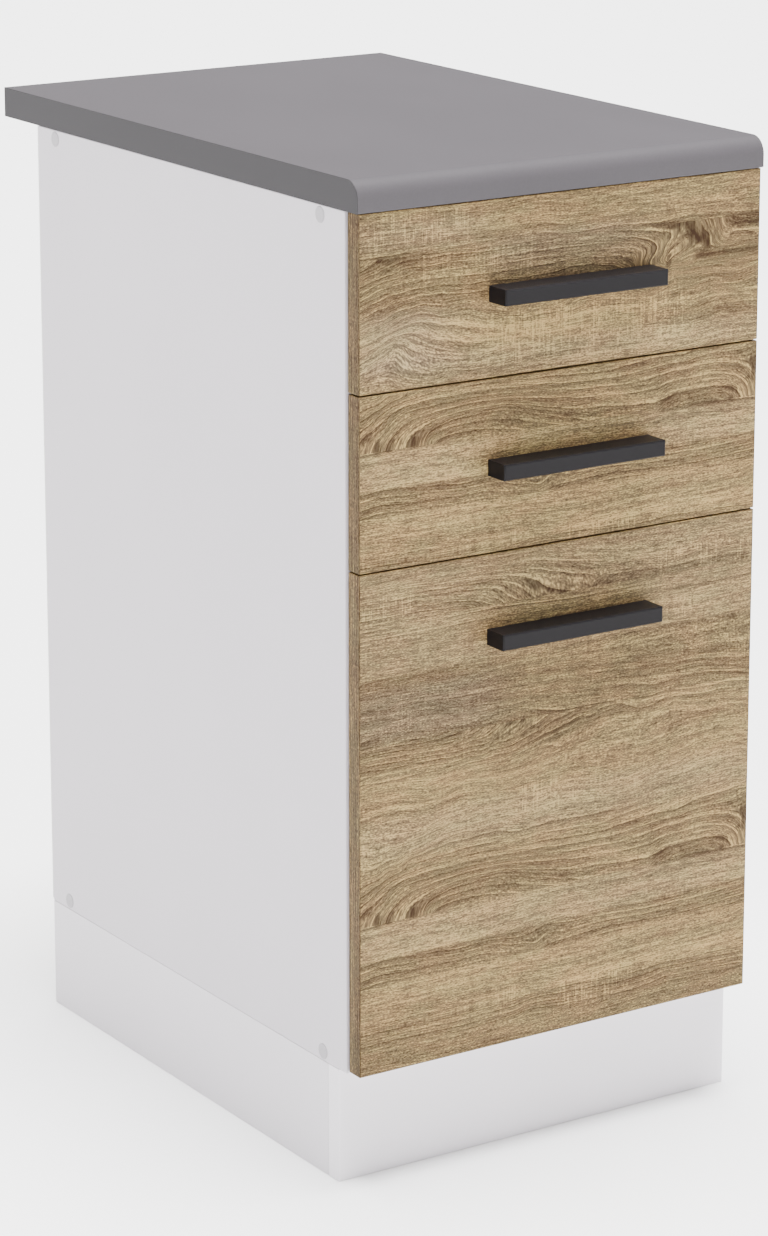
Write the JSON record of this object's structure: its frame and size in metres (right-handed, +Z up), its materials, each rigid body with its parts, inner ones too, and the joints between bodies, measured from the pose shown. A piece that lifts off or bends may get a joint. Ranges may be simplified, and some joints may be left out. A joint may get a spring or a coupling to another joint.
{
  "type": "base cabinet with drawers",
  "caption": "Narrow kitchen base cabinet: white board carcass on a plinth, grey worktop with a rounded front edge, oak-decor drawer fronts with bar handles, roller runners inside.",
  "frame": {"origin": "on the floor, in the middle of the closed cabinet's bounding box", "axes": "+X to the right seen from the front, +Y from the front to the back, +Z up"},
  "size_m": [0.401, 0.606, 0.846],
  "materials": {
    "white_board": "white melamine faced particle board, fine satin texture",
    "grey_worktop": "mid-grey laminate, matt with a fine grain",
    "oak_decor": "light saw-cut oak decor with horizontal grain, matt",
    "white_hardboard": "white-faced hardboard",
    "black_handle": "anthracite black, satin",
    "coated_steel": "white epoxy-coated steel sheet",
    "roller_plastic": "natural nylon",
    "zinc_steel": "zinc-plated",
    "beech_dowel": "plain beech",
    "moulded_block": "white moulded plastic",
    "cap_plastic": "pale grey, satin"
  },
  "bodies": {
    "carcass": {"side_panel_left": "white_board", "side_panel_right": "white_board", "bottom_panel": "white_board", "top_rail_front": "white_board", "top_rail_rear": "white_board", "back_panel": "white_hardboard", "worktop": "grey_worktop", "plinth_front": "white_board", "plinth_rear": "white_board", "plinth_side_left": "white_board", "plinth_side_right": "white_board", "plinth_corner_blocks": "moulded_block", "carcass_screws": "zinc_steel", "cover_caps": "cap_plastic", "wooden_dowels": "beech_dowel", "worktop_screws": "zinc_steel", "back_panel_nails": "zinc_steel", "pan_head_screws": "zinc_steel", "runners_top": "coated_steel", "runners_middle": "coated_steel", "runners_bottom": "coated_steel"},
    "drawer_top": {"drawer_top_front": "oak_decor", "drawer_top_handle": "black_handle", "drawer_top_side_left": "white_board", "drawer_top_side_right": "white_board", "drawer_top_back": "white_board", "drawer_top_floor": "white_hardboard", "drawer_top_rails": "coated_steel", "drawer_top_handle_screws": "zinc_steel", "drawer_top_cam_fittings": "zinc_steel", "drawer_top_box_screws": "zinc_steel", "drawer_top_rail_screws": "zinc_steel"},
    "front_rollers_top": {"front_rollers_top": "roller_plastic"},
    "rear_rollers_top": {"rear_rollers_top": "roller_plastic"},
    "drawer_middle": {"drawer_middle_front": "oak_decor", "drawer_middle_handle": "black_handle", "drawer_middle_side_left": "white_board", "drawer_middle_side_right": "white_board", "drawer_middle_back": "white_board", "drawer_middle_floor": "white_hardboard", "drawer_middle_rails": "coated_steel", "drawer_middle_handle_screws": "zinc_steel", "drawer_middle_cam_fittings": "zinc_steel", "drawer_middle_box_screws": "zinc_steel", "drawer_middle_rail_screws": "zinc_steel"},
    "front_rollers_middle": {"front_rollers_middle": "roller_plastic"},
    "rear_rollers_middle": {"rear_rollers_middle": "roller_plastic"},
    "drawer_bottom": {"drawer_bottom_front": "oak_decor", "drawer_bottom_handle": "black_handle", "drawer_bottom_side_left": "white_board", "drawer_bottom_side_right": "white_board", "drawer_bottom_back": "white_board", "drawer_bottom_floor": "white_hardboard", "drawer_bottom_rails": "coated_steel", "drawer_bottom_handle_screws": "zinc_steel", "drawer_bottom_cam_fittings": "zinc_steel", "drawer_bottom_box_screws": "zinc_steel", "drawer_bottom_rail_screws": "zinc_steel"},
    "front_rollers_bottom": {"front_rollers_bottom": "roller_plastic"},
    "rear_rollers_bottom": {"rear_rollers_bottom": "roller_plastic"}
  },
  "joints": [
    {"name": "drawer_top_slide", "type": "slide", "parent": "carcass", "child": "drawer_top", "axis": [0, -1, 0], "range_m": [0, 0.34]},
    {"name": "front_rollers_top_spin", "type": "hinge", "parent": "carcass", "child": "front_rollers_top", "pos_m": [0, -0.249, 0.7029], "axis": [1, 0, 0], "continuous": true},
    {"name": "rear_rollers_top_spin", "type": "hinge", "parent": "drawer_top", "child": "rear_rollers_top", "pos_m": [0, 0.176, 0.7053], "axis": [1, 0, 0], "continuous": true},
    {"name": "drawer_middle_slide", "type": "slide", "parent": "carcass", "child": "drawer_middle", "axis": [0, -1, 0], "range_m": [0, 0.34]},
    {"name": "front_rollers_middle_spin", "type": "hinge", "parent": "carcass", "child": "front_rollers_middle", "pos_m": [0, -0.249, 0.5574], "axis": [1, 0, 0], "continuous": true},
    {"name": "rear_rollers_middle_spin", "type": "hinge", "parent": "drawer_middle", "child": "rear_rollers_middle", "pos_m": [0, 0.176, 0.5598], "axis": [1, 0, 0], "continuous": true},
    {"name": "drawer_bottom_slide", "type": "slide", "parent": "carcass", "child": "drawer_bottom", "axis": [0, -1, 0], "range_m": [0, 0.34]},
    {"name": "front_rollers_bottom_spin", "type": "hinge", "parent": "carcass", "child": "front_rollers_bottom", "pos_m": [0, -0.249, 0.1409], "axis": [1, 0, 0], "continuous": true},
    {"name": "rear_rollers_bottom_spin", "type": "hinge", "parent": "drawer_bottom", "child": "rear_rollers_bottom", "pos_m": [0, 0.176, 0.1433], "axis": [1, 0, 0], "continuous": true}
  ],
  "couplings": [
    {"joint": "front_rollers_top_spin", "follows": "drawer_top_slide", "rad_per_m": 105.26},
    {"joint": "rear_rollers_top_spin", "follows": "drawer_top_slide", "rad_per_m": 105.26},
    {"joint": "front_rollers_middle_spin", "follows": "drawer_middle_slide", "rad_per_m": 105.26},
    {"joint": "rear_rollers_middle_spin", "follows": "drawer_middle_slide", "rad_per_m": 105.26},
    {"joint": "front_rollers_bottom_spin", "follows": "drawer_bottom_slide", "rad_per_m": 105.26},
    {"joint": "rear_rollers_bottom_spin", "follows": "drawer_bottom_slide", "rad_per_m": 105.26}
  ]
}
